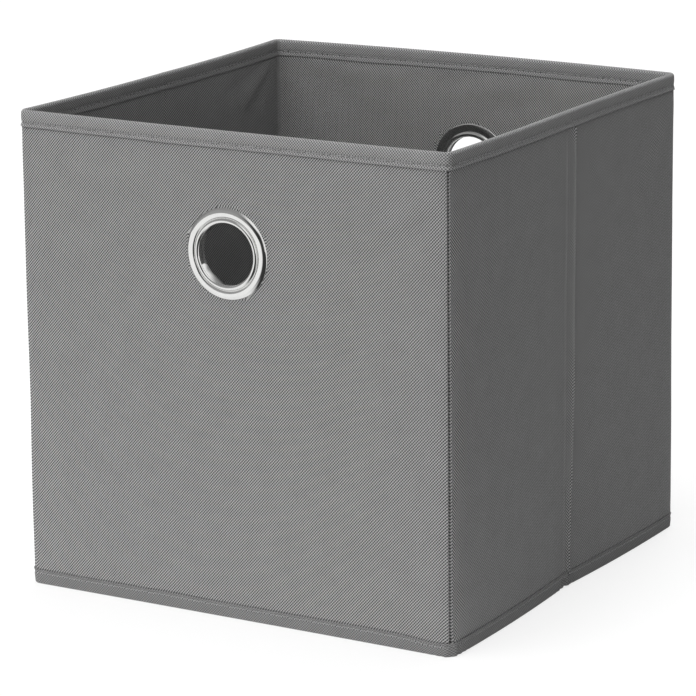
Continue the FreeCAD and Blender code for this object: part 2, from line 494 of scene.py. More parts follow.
def thin_sheet(name, kind, s_values, hole=None):
    """A closed sheet of one of the SHEETS, with its points at the given stations."""
    material, heights, edges, face, back = SHEETS[kind]
    z_values = stations(*heights, SHEET_PITCH, [level for level, edge in edges], EDGE_REACH)
    s, level_z = np.meshgrid(s_values, z_values, indexing="ij")
    z = level_z
    for level, edge in edges:
        z = z + (edge(s) - level) * bell(level_z - level, EDGE_FADE)
    columns, rows = s.shape
    outer = place(s, face(s, z), z).reshape(-1, 3)
    inner = place(s, back(s, z), z).reshape(-1, 3)
    front = grid_faces(columns, rows)
    behind = grid_faces(columns, rows, columns * rows, flip=True)
    points = np.concatenate([outer, inner])
    if hole:
        front, behind = cut_round(front, behind, points, hole)
    uvs = np.stack([s.ravel(), z.ravel()], -1)
    border = border_faces(columns, rows)
    uvs = np.concatenate([uvs, uvs])
    obj = new_object(name, points, front + behind + border, material, uvs=uvs, flat=len(border))
    return without_loose(obj)


def cut_round(front, behind, points, hole):
    """Removes the faces over a round hole, draws its border to the circle and closes it."""
    centre_x, centre_z, radius = hole
    centre = np.array([centre_x, centre_z])
    flat = points[:, [0, 2]] - centre
    distance = np.hypot(*flat.T)
    keep = [all(distance[k] >= radius for k in face) for face in front]
    kept = [face for k, face in zip(keep, front) if k]
    gone = [face for k, face in zip(keep, front) if not k]
    border = {v for face in kept for v in face} & {v for face in gone for v in face}
    half = len(points) // 2
    for v in border:
        points[np.ix_([v, v + half], [0, 2])] = centre + flat[v] * radius / distance[v]
    edges = {edge for face in kept for edge in zip(face, face[1:] + face[:1])}
    rim = [
        (b, a, a + half, b + half)
        for a, b in sorted(edges)
        if (b, a) not in edges and {a, b} <= border
    ]
    return kept + rim, [face for k, face in zip(keep, behind) if k]


def without_loose(obj):
    """Deletes the points that no face uses."""
    mesh = bmesh.new()
    mesh.from_mesh(obj.data)
    bmesh.ops.delete(mesh, geom=[v for v in mesh.verts if not v.link_faces], context="VERTS")
    mesh.to_mesh(obj.data)
    mesh.free()
    return obj


def swept_band(name, s_values, section, material):
    """A closed section carried along the perimeter: section(s) gives depths, heights, lengths."""
    depths, heights, lengths = section(s_values[:, None])
    s = np.broadcast_to(s_values[:, None], depths.shape)
    columns, rows = depths.shape
    points = place(s, depths, heights).reshape(-1, 3)
    uvs = np.stack([s.ravel(), np.broadcast_to(lengths, depths.shape).ravel()], -1)
    return new_object(name, points, tube_faces(columns, rows), material, uvs=uvs, flat=2)


def stations(start, end, pitch, dense=(), reach=SEAM_REACH):
    """Stations between two ends, closer together near the given ones."""
    values = list(np.linspace(start, end, max(2, round((end - start) / pitch) + 1)))
    for middle in dense:
        low, high = max(start, middle - reach), min(end, middle + reach)
        if high > low:
            values = [v for v in values if not low < v < high]
            values += list(np.linspace(low, high, max(2, round((high - low) / FINE_PITCH) + 1)))
    values = np.array(sorted(values))
    keep = np.concatenate([[True], np.diff(values) > 0.05 * MM])
    keep[-1] = True
    return values[keep]


# Materials

def new_tree(owner):
    owner.use_nodes = True
    owner.node_tree.nodes.clear()
    return owner.node_tree


def new_material(name):
    """A new material and its empty node tree."""
    material = bpy.data.materials.new(name)
    return material, new_tree(material)


def wire(tree, socket, value):
    """Links a socket to another one, or sets it to a plain number or colour."""
    if isinstance(value, bpy.types.NodeSocket):
        tree.links.new(value, socket)
    elif isinstance(value, tuple):
        socket.default_value = (*value, 1.0)
    else:
        socket.default_value = value


def add_node(tree, kind, *values, **named):
    """A node with its inputs linked or set, in order or by name, with _ for each space."""
    node = tree.nodes.new(kind)
    for socket, value in zip(node.inputs, values):
        wire(tree, socket, value)
    for name, value in named.items():
        wire(tree, node.inputs[name.replace("_", " ")], value)
    return node


def math_node(tree, operation, *values):
    node = add_node(tree, "ShaderNodeMath", *values)
    node.operation = operation
    return node.outputs[0]


def smooth_range(tree, value, start, end, low, high):
    node = add_node(
        tree, "ShaderNodeMapRange", Value=value,
        From_Min=start, From_Max=end, To_Min=low, To_Max=high)
    node.interpolation_type = "SMOOTHSTEP"
    return node.outputs[0]


def grey_colour(tree, value):
    return add_node(tree, "ShaderNodeCombineColor", value, value, value).outputs[0]


def mix_colour(tree, factor, first, second, blend="MIX"):
    """Mixes two colours, each a socket or a plain colour."""
    node = tree.nodes.new("ShaderNodeMix")
    node.data_type = "RGBA"
    node.blend_type = blend
    for index, value in ((0, factor), (6, first), (7, second)):
        wire(tree, node.inputs[index], value)
    return node.outputs[2]


def mix_shader(tree, share, first, second):
    return add_node(tree, "ShaderNodeMixShader", share, first, second).outputs[0]


def noise(tree, vector, scale, detail=2.0, roughness=0.5):
    node = add_node(
        tree, "ShaderNodeTexNoise", Vector=vector,
        Scale=scale, Detail=detail, Roughness=roughness)
    return node.outputs["Fac"]


def bumped(tree, height, strength, distance):
    node = add_node(
        tree, "ShaderNodeBump", Strength=strength, Distance=distance, Height=height)
    return node.outputs[0]


def finished(tree, **inputs):
    """Ends a material with one principled shader."""
    shader = add_node(tree, "ShaderNodeBsdfPrincipled", **inputs)
    add_node(tree, "ShaderNodeOutputMaterial", Surface=shader.outputs[0])


# The embossed lattice: dots this far apart along and up, staggered like bricks
DOT_ALONG = 1.97 * MM
DOT_UP = 2.11 * MM


def emboss(tree, u, v, slant):
    """From -1 between the dots to 1 in them, drawn out along one diagonal if slant is over half."""
    across = math_node(tree, "MULTIPLY", u, 2 * math.pi / DOT_ALONG)
    upward = math_node(tree, "MULTIPLY", v, 2 * math.pi / DOT_UP)
    falling = math_node(tree, "COSINE", math_node(tree, "SUBTRACT", across, upward))
    rising = math_node(tree, "COSINE", math_node(tree, "ADD", across, upward))
    weighted = math_node(tree, "MULTIPLY", falling, slant)
    return math_node(tree, "MULTIPLY_ADD", rising, 1 - slant, weighted)


def cloth_material(name, colour, contrast=0.85, slant=0.64):
    """Pressed non-woven cloth: a lattice of darker pits, fibres and soft cloudy patches."""
    material, tree = new_material(name)
    uv = tree.nodes.new("ShaderNodeUVMap")
    uv.uv_map = "cloth"
    u, v, _ = add_node(tree, "ShaderNodeSeparateXYZ", uv.outputs[0]).outputs
    dots = emboss(tree, u, v, slant)
    pits = smooth_range(tree, dots, -0.7, 0.7, -1.0, 1.0)
    fibres = noise(tree, uv.outputs[0], 2600.0, 3.0, 0.6)
    clouds = noise(tree, uv.outputs[0], 60.0, 3.0, 0.55)
    patches = noise(tree, uv.outputs[0], 260.0, 2.0, 0.5)
    shade = math_node(tree, "MULTIPLY_ADD", pits, -contrast, 1.0)
    for factor, amount in ((fibres, 0.5), (clouds, 0.18), (patches, 0.108)):
        layer = math_node(tree, "MULTIPLY_ADD", factor, amount, 1.0 - amount / 2)
        shade = math_node(tree, "MULTIPLY", shade, layer)
    relief = math_node(tree, "MULTIPLY_ADD", fibres, 0.30, math_node(tree, "MULTIPLY", dots, -0.5))
    finished(
        tree,
        Base_Color=mix_colour(tree, 1.0, colour, grey_colour(tree, shade), "MULTIPLY"),
        Roughness=math_node(tree, "MULTIPLY_ADD", dots, -0.06, 0.86),
        Specular_IOR_Level=0.15, Sheen_Weight=0.12, Sheen_Roughness=0.45,
        Normal=bumped(tree, relief, 0.7, 0.20 * MM),
    )
    return material


def speckled_material(name, dark, light, fine, broad, roughness):
    """Two tones, mixed by fine specks and a broad sweep."""
    material, tree = new_material(name)
    where = tree.nodes.new("ShaderNodeTexCoord").outputs["Object"]
    specks = noise(tree, where, fine, 4.0, 0.7)
    sweep = noise(tree, where, broad)
    share = math_node(tree, "MULTIPLY_ADD", sweep, 0.4, math_node(tree, "MULTIPLY", specks, 0.6))
    finished(
        tree, Base_Color=mix_colour(tree, share, dark, light), Roughness=roughness,
        Normal=bumped(tree, specks, 0.3, 0.05 * MM))
    return material


def chrome_material():
    """Polished metal with faint smudges and hairlines."""
    material, tree = new_material("chrome")
    where = tree.nodes.new("ShaderNodeTexCoord").outputs["Object"]
    smudge = noise(tree, where, 90.0, 4.0, 0.6)
    scratch = noise(tree, where, 1800.0)
    finished(
        tree, Metallic=1.0,
        Base_Color=mix_colour(tree, smudge, (0.74, 0.74, 0.73), (0.86, 0.86, 0.85)),
        Roughness=math_node(tree, "MULTIPLY_ADD", smudge, 0.07, 0.03),
        Normal=bumped(tree, scratch, 0.10, 0.01 * MM),
    )
    return material


cover_cloth = cloth_material("cover_cloth", (0.246, 0.246, 0.246))
lining_cloth = cloth_material("lining_cloth", (0.246, 0.246, 0.245))
tape_cloth = cloth_material("tape_cloth", (0.250, 0.250, 0.250), contrast=0.70, slant=0.48)
hem_cloth = cloth_material("hem_cloth", (0.207, 0.207, 0.207), contrast=0.50, slant=0.50)
thread = speckled_material("thread", (0.21, 0.21, 0.21), (0.34, 0.34, 0.34), 4200.0, 900.0, 0.6)
card = speckled_material("grey_card", (0.20, 0.165, 0.125), (0.30, 0.26, 0.205), 900.0, 24.0, 0.9)
chrome = chrome_material()


# Wall stretches: body, first and last station
WALLS = {
    "front": ("front_panel", -STRAIGHT, STRAIGHT),
    "right_front": ("right_front_panel", RIGHT - STRAIGHT, RIGHT - CREASE),
    "right_rear": ("right_rear_panel", RIGHT + CREASE, RIGHT + STRAIGHT),
    "rear": ("rear_panel", REAR - STRAIGHT, REAR + STRAIGHT),
    "left_rear": ("left_rear_panel", LEFT - STRAIGHT, LEFT - CREASE),
    "left_front": ("left_front_panel", LEFT + CREASE, LEFT + STRAIGHT),
}

# Joins: the node each stands for, and the wall stretches before and after it
JOINS = {
    "front_right_corner": ("corner_fold_front_right", "front", "right_front"),
    "right_crease": ("crease_fold_right", "right_front", "right_rear"),
    "rear_right_corner": ("corner_fold_rear_right", "right_rear", "rear"),
    "rear_left_corner": ("corner_fold_rear_left", "rear", "left_rear"),
    "left_crease": ("crease_fold_left", "left_rear", "left_front"),
    "front_left_corner": ("corner_fold_front_left", "left_front", "front"),
}

# The folding loop is opened here, so this corner's strip stays with the stretch before it
OPEN_CORNER = "rear_left_corner"

SEAMS = [seam + shift * TURN for sign, seam, share in corner_sides() for shift in (-1, 0)]
DENSE = SEAMS + [RIGHT + 4.5 * MM, LEFT - 0.5 * MM]
COVER_FOOT = HEM_TOP - 3.5 * MM
LINING_FOOT = cover_low.z
CLOTH_HEAD = HEIGHT - RIM_STITCH + 0.4 * MM
CARD_SET_BACK = 0.4 * MM
CARD_SHORT_OF_LINING = 0.3 * MM


# Sheets: material, foot and head, tape edges that its rows run along, outer and inner face
SHEETS = {
    "cover": (
        cover_cloth, (COVER_FOOT, CLOTH_HEAD),
        [(HEM_TOP, hem_top), (HEIGHT - RIM_DROP_OUT, rim_edge_out)],
        lambda s, z: TAPE - cover_relief(s, z),
        lambda s, z: TAPE + CLOTH - cover_relief(s, z)),
    "lining": (
        lining_cloth, (LINING_FOOT, CLOTH_HEAD), [(HEIGHT - RIM_DROP_IN, rim_edge_in)],
        lambda s, z: INNER_FACE - CLOTH + CLOTH_LIFT + lining_relief(s, z),
        lambda s, z: INNER_FACE + CLOTH_LIFT + lining_relief(s, z)),
    "card": (
        card, (CARD_FOOT, CARD_HEAD), [],
        lambda s, z: CARD_OUT - stance(s, z) + CARD_SET_BACK,
        lambda s, z: CARD_IN - stance(s, z) - CARD_SHORT_OF_LINING),
}


# How deep a row of stitches draws the cloth in, how far above and below, and its needle holes
PUCKER = 0.45 * MM
PUCKER_ABOVE = 1.4 * MM
PUCKER_BELOW = 0.8 * MM
NEEDLE_DEPTH = 0.40 * MM
NEEDLE_WIDTH = 0.60 * MM


def pucker(s, above):
    """How much a row of stitches draws the cloth in, along the row and at each needle hole."""
    hole = (s / STITCH_PITCH) % 1.0
    near = np.minimum(hole, 1 - hole) * STITCH_PITCH
    reach = np.where(above > 0, PUCKER_ABOVE, PUCKER_BELOW)
    row = PUCKER * np.exp(-np.abs(above) / reach)
    return row + NEEDLE_DEPTH * bell(near, NEEDLE_WIDTH) * bell(above, NEEDLE_WIDTH)


def edge_flare(height, edge, row, amount):
    """The tape stands off between its stitches and its edge, most at the edge."""
    return amount * np.clip((row - height) / np.abs(row - edge), 0, 1) ** 1.5


def front_share(s):
    """1 on the front wall, 0 past its corners."""
    return 1 - step(np.abs(around(s, FRONT)), STRAIGHT - 4 * MM, STRAIGHT + ARC)


def thinning(s):
    """How much thinner the rim is at its top on each side, most on the front wall."""
    return RIM_NARROWING * (0.30 + 0.70 * front_share(s))


def narrowing(s, height):
    """The rim grows thinner from its stitches to its top."""
    share = np.clip((height - (HEIGHT - RIM_STITCH)) / RIM_STITCH, 0, 1)
    return thinning(s) * share ** 3


def side_by_side(s, *parts):
    """Joins the parts of a section, each spread over all the stations."""
    return np.concatenate([part + 0.0 * s for part in parts], axis=1)


# How far a tape stands off at its outer and inner edge, and how its turned part clears its face
FLARE_OUT = 0.42 * MM
FLARE_IN = 0.20 * MM
TURNED_GAP = 0.1 * MM

RIM_STEPS = np.array(
    [0.0, 0.03, 0.07, 0.13, 0.19, 0.23, 0.27, 0.31, 0.37, 0.45, 0.55, 0.65, 0.75, 0.85, 0.93, 1.0])


def rim_section(s):
    """Rim tape: up the outside, over the top, down the inside, and back under itself."""
    low_out, low_in = rim_edge_out(s), rim_edge_in(s)
    top_round = RIM / 2 - thinning(s)
    bend = HEIGHT - top_round
    up_out = low_out + (bend - low_out) * RIM_STEPS
    down_in = bend - (bend - low_in) * (1 - RIM_STEPS[::-1])
    row = HEIGHT - RIM_STITCH
    out = narrowing(s, up_out) + pucker(s, up_out - row)
    out = out - edge_flare(up_out, low_out, row, FLARE_OUT)
    inn = RIM - narrowing(s, down_in) - pucker(s + STITCH_PITCH / 2, down_in - row)
    inn = inn + edge_flare(down_in, low_in, row, FLARE_IN)
    turn = np.linspace(0, math.pi, 9)[1:-1]
    top_depth = RIM / 2 - top_round * np.cos(turn)
    top_height = bend + top_round * np.sin(turn)
    back = np.linspace(0, 1, 5)
    under_in = low_in + (row - low_in) * back
    under_out = low_out + (row - low_out) * back[::-1]
    wall_in = np.full(len(back), RIM - TAPE + TURNED_GAP)
    wall_out = np.full(len(back), TAPE - TURNED_GAP)
    depth = side_by_side(s, out, top_depth, inn, wall_in, wall_out)
    height = side_by_side(s, up_out, top_height, down_in, under_in, under_out)
    share = np.clip(depth / RIM, 0, 1)
    shift = lining_relief(s, height) * share - wall_relief(s, height) * (1 - share)
    over = RIM_DROP_OUT + RIM
    lengths = np.concatenate([
        RIM_DROP_OUT * RIM_STEPS, RIM_DROP_OUT + RIM * turn / math.pi,
        over + RIM_DROP_IN * (1 - RIM_STEPS[::-1]), over + RIM_DROP_IN * (1 - back),
        RIM_DROP_OUT * back[::-1],
    ])
    return depth + shift, height, lengths[None, :]


# Upright ripples in the hem: where, and how deep in millimetres
RIPPLES = ((RIGHT, 0.5), (LEFT, 0.4), (RIGHT - STRAIGHT + 3 * MM, 0.35), (STRAIGHT, 0.25))


def hem_ripple(s, z):
    total = 0.0
    for station, amount in RIPPLES:
        off = around(s, station)
        total = total + amount * MM * bell(off, 7 * MM) * np.sin(2 * math.pi * off / (5.5 * MM))
    return total * step(-z, -HEM_TOP, -HEM_TOP + 5 * MM)


def hem_face(s, z):
    """Depth of the hem's outer face: it tucks in towards the foot."""
    return HEM_TUCK * step(-z, -HEM_TOP + 1 * MM, 2 * MM) - hem_ripple(s, z)


HEM_STEPS = np.array([0.0, 0.05, 0.1, 0.16, 0.22, 0.29, 0.36, 0.45, 0.58, 0.72, 0.86, 1.0])


def hem_section(s):
    """Hem: down the outside, turned under the foot of the wall, and back inside itself."""
    top = hem_top(s)
    lift = 0.9 * MM * (bell(around(s, RIGHT), 5 * MM) + bell(around(s, LEFT), 5 * MM))
    turn_height = HEM_BOTTOM + HEM_ROUND
    down = top - (top - turn_height) * HEM_STEPS
    row = top - HEM_STITCH
    flare = 0.22 * MM * bell(down - top, 0.7 * MM)
    out = hem_face(s, down) + pucker(s, down - row) - flare
    foot_face = hem_face(s, np.full_like(s, turn_height))
    bend = np.linspace(0, math.pi / 2, 6)[1:]
    bend_depth = foot_face + HEM_ROUND * (1 - np.cos(bend))
    bend_height = turn_height - HEM_ROUND * np.sin(bend)
    under_depth = np.array([HEM_UNDER, HEM_UNDER])
    under_height = HEM_BOTTOM + np.array([0.0, TAPE])
    inside = bend[::-1]
    round_in = HEM_ROUND - TAPE
    in_depth = foot_face + HEM_ROUND - round_in * np.cos(inside)
    in_height = turn_height - round_in * np.sin(inside)
    up_share = np.array([0.0, 0.5, 1.0])
    up_height = turn_height + (top - turn_height) * up_share
    up_depth = hem_face(s, up_height) + TAPE - TURNED_GAP
    depth = side_by_side(s, out, bend_depth, under_depth, in_depth, up_depth)
    height = side_by_side(s, down, bend_height, under_height, in_height, up_height)
    height = height + lift * (1 - step(height, 2 * MM, HEM_TOP))
    share = np.clip(depth / RIM, 0, 1)
    shift = -stance(s, height) * share - wall_relief(s, height) * (1 - share)
    lengths = np.concatenate([
        -HEM_TOP * HEM_STEPS, -HEM_TOP - HEM_ROUND * bend, -2 * HEM_TOP * np.ones(2),
        -HEM_TOP - HEM_ROUND * inside, -HEM_TOP * (1 - up_share),
    ])
    return depth + shift, height, lengths[None, :]


# Stitches: one short round thread between each two needle holes
KNOTS = np.array([0.07, 0.2, 0.5, 0.8, 0.93])
KNOT_LIFT = np.array([-0.34, -0.02, 0.16, -0.02, -0.34]) * MM
KNOT_RADII = np.array([0.55, 1.0, 1.0, 1.0, 0.55]) * STITCH_RADIUS
THREAD_DEPTH = 0.34 * MM
THREAD_WANDER = 0.12 * MM


def rim_level(s):
    return np.full_like(s, HEIGHT - RIM_STITCH)


def hem_level(s):
    return hem_top(s) - HEM_STITCH


# Rows of stitches: height, face they lie on, which way it looks, and shift along the row
STITCH_ROWS = {
    "rim": [
        (rim_level, lambda s, z: THREAD_DEPTH - wall_relief(s, z), 1, 0.0),
        (rim_level, lambda s, z: RIM + lining_relief(s, z) - THREAD_DEPTH, -1, STITCH_PITCH / 2),
    ],
    "hem": [(hem_level, lambda s, z: hem_face(s, z) + THREAD_DEPTH - wall_relief(s, z), 1, 0.0)],
}


def stitches(name, rows, start, end):
    """All threads of the given rows between two stations."""
    ring = np.linspace(0, 2 * math.pi, 7)[:-1]
    points, faces, uvs = [], [], []
    for height, face, sign, shift in rows:
        first = math.ceil((start + shift) / STITCH_PITCH)
        last = math.floor((end + shift) / STITCH_PITCH)
        for hole in np.arange(first, last) * STITCH_PITCH - shift:
            s = hole + KNOTS * STITCH_PITCH
            z = height(s) + THREAD_WANDER * np.sin(s * 700.0)
            faces += tube_faces(len(KNOTS), len(ring), len(points), flip=sign < 0)
            for along, up, lift, radius in zip(s, z, KNOT_LIFT, KNOT_RADII):
                depth = face(along, up) - sign * (lift + radius * np.cos(ring))
                points += list(place(along, depth, up + radius * np.sin(ring)))
                uvs += [(along, up)] * len(ring)
    return new_object(name, points, faces, thread, uvs=uvs)


# Building the walls and the joins between them
BAND_PITCH = 0.75 * MM
HOLE_RADIUS = 23.5 * MM
EYELETS = {"front": ("front_panel", -1, FRONT), "rear": ("rear_panel", 1, REAR)}


def build_walls():
    for name, (body, start, end) in WALLS.items():
        hole = (0.0, EYELET_HEIGHT, HOLE_RADIUS) if name in EYELETS else None
        gap = STRAIGHT - CARD_END
        cloth_run, run = stations(start, end, SHEET_PITCH, DENSE), stations(start, end, BAND_PITCH)
        card_run = stations(start + gap, end - gap, 2 * SHEET_PITCH)
        cover = thin_sheet(name + "_cover_cloth", "cover", cloth_run, hole)
        lining = thin_sheet(name + "_lining_cloth", "lining", cloth_run, hole)
        pieces = [
            (cover, "cover", "cover"),
            (lining, "lining", "lining"),
            (thin_sheet(name + "_card", "card", card_run, hole), "board", "card"),
            (swept_band(name + "_rim_binding", run, rim_section, tape_cloth), "rim_tape", "tape"),
            (swept_band(name + "_hem_binding", run, hem_section, hem_cloth), "hem", "tape"),
        ]
        for piece, node, slot in pieces:
            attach(piece, body)
            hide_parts(name + "_" + node)
        for kind, rows in STITCH_ROWS.items():
            threads = stitches(name + "_" + kind + "_stitches", rows, start, end)
            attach(threads, body)


def build_joins():
    for name, (node, before, after) in JOINS.items():
        first, _, start = WALLS[before]
        second, end, _ = WALLS[after]
        end = end + TURN if end < start else end
        cloth_run, run = stations(start, end, SHEET_PITCH, DENSE), stations(start, end, BAND_PITCH)
        cover = thin_sheet(name + "_cover", "cover", cloth_run)
        pieces = [
            (cover, "cover"),
            (thin_sheet(name + "_lining", "lining", cloth_run), "lining"),
            (swept_band(name + "_rim_binding", run, rim_section, tape_cloth), "tape"),
            (swept_band(name + "_hem_binding", run, hem_section, hem_cloth), "tape"),
        ]
        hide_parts(node)
        for piece, slot in pieces:
            if name == OPEN_CORNER:
                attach(piece, first)
            else:
                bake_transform(piece)


# Eyelets: a domed flange with a rolled lip, its barrel, and a washer with the rolled end

def lathe(name, profile, side, wall, material, sides=144):
    """Turns a closed profile of (radius, rise out of the wall) about the eyelet's axis."""
    angles = np.linspace(0, 2 * math.pi, sides, endpoint=False)[:, None]
    radius, rise = np.array(profile).T * MM
    x = radius * np.cos(angles)
    z = EYELET_HEIGHT + radius * np.sin(angles)
    y = side * (HALF - TAPE + CLOTH_LIFT + stance(wall, z) + rise)
    points = np.stack([x, y, z], -1).reshape(-1, 3)
    faces = grid_faces(sides, len(profile), flip=True, closed=True, ring=True)
    if side > 0:
        faces = [face[::-1] for face in faces]
    return new_object(name, points, faces, material)


def arc_points(centre, radius, start, end, count, stretch=1.0):
    turn = np.radians(np.linspace(start, end, count))
    return [
        (centre[0] + radius * math.cos(t), centre[1] + stretch * radius * math.sin(t)) for t in turn
    ]


def flange_points(start, first_tilt, arcs):
    """Arcs that go on smoothly from a point, each given the tilt it turns to and its radius."""
    points, here, tilt = [start], start, math.radians(first_tilt)
    for next_tilt, radius in arcs:
        turn = np.linspace(tilt, math.radians(next_tilt), 9)
        centre = (here[0] - radius * math.sin(tilt), here[1] - radius * math.cos(tilt))
        points += [
            (centre[0] + radius * math.sin(t), centre[1] + radius * math.cos(t)) for t in turn[1:]
        ]
        here, tilt = points[-1], turn[-1]
    return points


def eyelet_profile():
    """From the bore over the rolled lip, the groove and the domed flange, and back behind it."""
    lip = arc_points((21.75, 0.7), 1.75, 180, 12, 17, 1.1)
    dome = flange_points((23.72, 0.98), -62, ((-14, 1.6), (20, 5.9), (52, 3.6), (88, 0.9)))
    edge = [(29.6, -0.15), (25.0, -0.18), (20.9, -0.2)]
    barrel = [(20.9, -3.9)]
    rolled = arc_points((21.9, -4.1), 1.9, 20, -180, 12, 0.75)
    return lip + [(23.58, 0.94)] + dome + edge + barrel + rolled


WASHER_PROFILE = [
    (21.3, -3.05), (21.3, -3.8), (24.0, -3.95), (26.5, -4.0), (28.6, -3.95), (29.2, -3.8),
    (29.6, -3.5), (29.7, -3.2), (29.6, -3.05),
]


def build_eyelets():
    for name, (body, side, wall) in EYELETS.items():
        ring = lathe(name + "_eyelet_ring", eyelet_profile(), side, wall, chrome)
        washer = lathe(name + "_eyelet_backing", WASHER_PROFILE, side, wall, chrome)
        for piece, node in ((ring, "_eyelet"), (washer, "_eyelet_washer")):
            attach(piece, body)
            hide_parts(name + node)


# Floor cloth and loose insert: its corners, how far its cloth turns in under it, the middle
# square of its rings, the number of them on top, and the pattern's shift on its underside
INSERT_CORNER = 6.0 * MM
INSERT_TURN_IN = 18.0 * MM
INSERT_CENTRE = 8 * MM
TOP_RINGS = 30
UNDERSIDE_SHIFT = 0.4
INSERT_SLACK = 0.2 * MM
FLOOR_EDGE = STRAIGHT - 2 * MM
FLOOR_THICK = 0.6 * MM
FLOOR_RIDGE = 0.4 * MM


def floor_reach(wall, along):
    """How far from the middle the floor cloth goes towards a wall, up to its lining."""
    return HALF - INNER_FACE + stance(wall + along, 3 * MM)


def build_floor():
    share = np.linspace(-1, 1, 79)
    u, v = np.meshgrid(share, share, indexing="ij")
    along = v * FLOOR_EDGE
    x = u * np.where(u > 0, floor_reach(RIGHT, along), floor_reach(LEFT, -along))
    along = u * FLOOR_EDGE
    y = v * np.where(v > 0, floor_reach(REAR, -along), floor_reach(FRONT, along))
    ridge = FLOOR_RIDGE * bell(y, 1.6 * MM)
    wave = cloud(x + HALF, y * 0.5 + HEIGHT / 2, 30 * MM, SEED + 6, 0.1 * MM)
    low = ridge + np.abs(wave)
    high = low + FLOOR_THICK
    layers = [np.stack([x, y, level], -1).reshape(-1, 3) for level in (high, low)]
    count = len(share)
    faces = grid_faces(count, count) + grid_faces(count, count, x.size, flip=True)
    uvs = np.stack([x.ravel(), y.ravel()], -1)
    piece = new_object(
        "floor_cloth_sheet", np.concatenate(layers), faces + border_faces(count, count),
        cover_cloth, uvs=np.concatenate([uvs, uvs]))
    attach(piece, "front_panel")
    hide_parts("floor_cloth")
    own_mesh(piece)


def rounded_square(half, corner, along=22, bend=7):
    """Points round a square with rounded corners, the same number for any size."""
    side = [(half, share * (half - corner)) for share in np.linspace(-1, 1, along, endpoint=False)]
    middle = half - corner
    for angle in np.linspace(0, math.pi / 2, bend)[:-1]:
        side.append((middle + corner * math.cos(angle), middle + corner * math.sin(angle)))
    x, y = np.array(side).T
    quarters = [(x, y), (-y, x), (-x, -y), (y, -x)]
    return tuple(np.concatenate([quarter[k] for quarter in quarters]) for k in (0, 1))


def build_insert():
    """The insert's cloth: drawn over its card and turned under all round, the card bare between."""
    card_low, card_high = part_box("insert_board")
    half = insert_high.x
    middle = (insert_low.z + insert_high.z) / 2
    thick = (insert_high.z - insert_low.z) / 2
    window = half - INSERT_TURN_IN
    turn = np.linspace(0, math.pi, 11)[1:-1]
    rings = [(size, insert_high.z) for size in np.linspace(INSERT_CENTRE, half - thick, TOP_RINGS)]
    rings += list(zip(half - thick + thick * np.sin(turn), middle + thick * np.cos(turn)))
    rings += [(size, insert_low.z) for size in np.linspace(half - thick, window, 6)]
    rings += [(window, card_low.z), (card_high.x, card_low.z), (card_high.x, card_high.z)]
    rings.append((INSERT_CENTRE, card_high.z))
    outline_x, outline_y = rounded_square(1.0, INSERT_CORNER / half)
    points, uvs = [], []
    for index, (size, z) in enumerate(rings):
        x, y = size * outline_x, size * outline_y
        slack = cloud(x + half, y * 0.5 + HEIGHT / 2, 45 * MM, SEED + 8, INSERT_SLACK)
        height = z - (INSERT_SLACK - slack) * (index < TOP_RINGS - 1)
        points += list(np.stack([x, y, height + 0.0 * x], -1))
        uvs += list(np.stack([x, y + UNDERSIDE_SHIFT * (index > TOP_RINGS + 5)], -1))
    faces = tube_faces(len(rings), len(outline_x))
    piece = new_object("insert_wrap_cloth", points, faces, lining_cloth, uvs=uvs)
    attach(piece, "base_insert")
    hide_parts("insert_wrap")
    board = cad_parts["insert_board"]
    board.data.materials.clear()
    board.data.materials.append(card)


# Studio: pale floor, soft light from above and from the bright horizon, and the camera

def path_share(tree, *names):
    """1 for the named kinds of ray and 0 for the others."""
    path = tree.nodes.new("ShaderNodeLightPath")
    total = path.outputs[names[0]]
    for name in names[1:]:
        total = math_node(tree, "MAXIMUM", total, path.outputs[name])
    return total


# What polished metal sees at each bearing, in degrees from the front towards the right:
# on the ground and above it
GROUND_BEARINGS = (
    (-180, 0.04), (-134, 0.04), (-126, 0.38), (-104, 0.38), (-98, 0.03), (-72, 0.03), (-64, 1.0),
    (-10, 1.0), (0, 0.04), (50, 0.04), (60, 1.0), (150, 1.0), (160, 0.30), (180, 0.04),
)
SKY_BEARINGS = (
    (-180, 0.04), (-134, 0.04), (-124, 0.22), (-80, 0.22), (-50, 0.36), (-20, 0.34), (-6, 0.04),
    (34, 0.04), (56, 1.0), (150, 1.0), (160, 0.30), (180, 0.04),
)


def mirror_bands(tree, x, y, bearings):
    """White softboxes with dark gaps between them, for polished metal alone."""
    bearing = math_node(tree, "ARCTAN2", x, math_node(tree, "MULTIPLY", y, -1.0))
    share = math_node(tree, "MULTIPLY_ADD", bearing, 1 / (2 * math.pi), 0.5)
    ramp = add_node(tree, "ShaderNodeValToRGB", share)
    stops = ramp.color_ramp.elements
    for index, (degrees, level) in enumerate(bearings):
        position = (degrees + 180) / 360
        stop = stops[index] if index < 2 else stops.new(position)
        stop.position = position
        stop.color = (level, level, level, 1.0)
    return ramp.outputs[0]


# The way towards the darker side of the studio, on the ground
SHADE_SIDE = (0.87, 0.50)


def towards_shade(tree, x, y):
    across = math_node(tree, "MULTIPLY", y, SHADE_SIDE[1])
    return math_node(tree, "MULTIPLY_ADD", x, SHADE_SIDE[0], across)


FLOOR_SIZE = 6.0
FLOOR_GLOW = 0.74


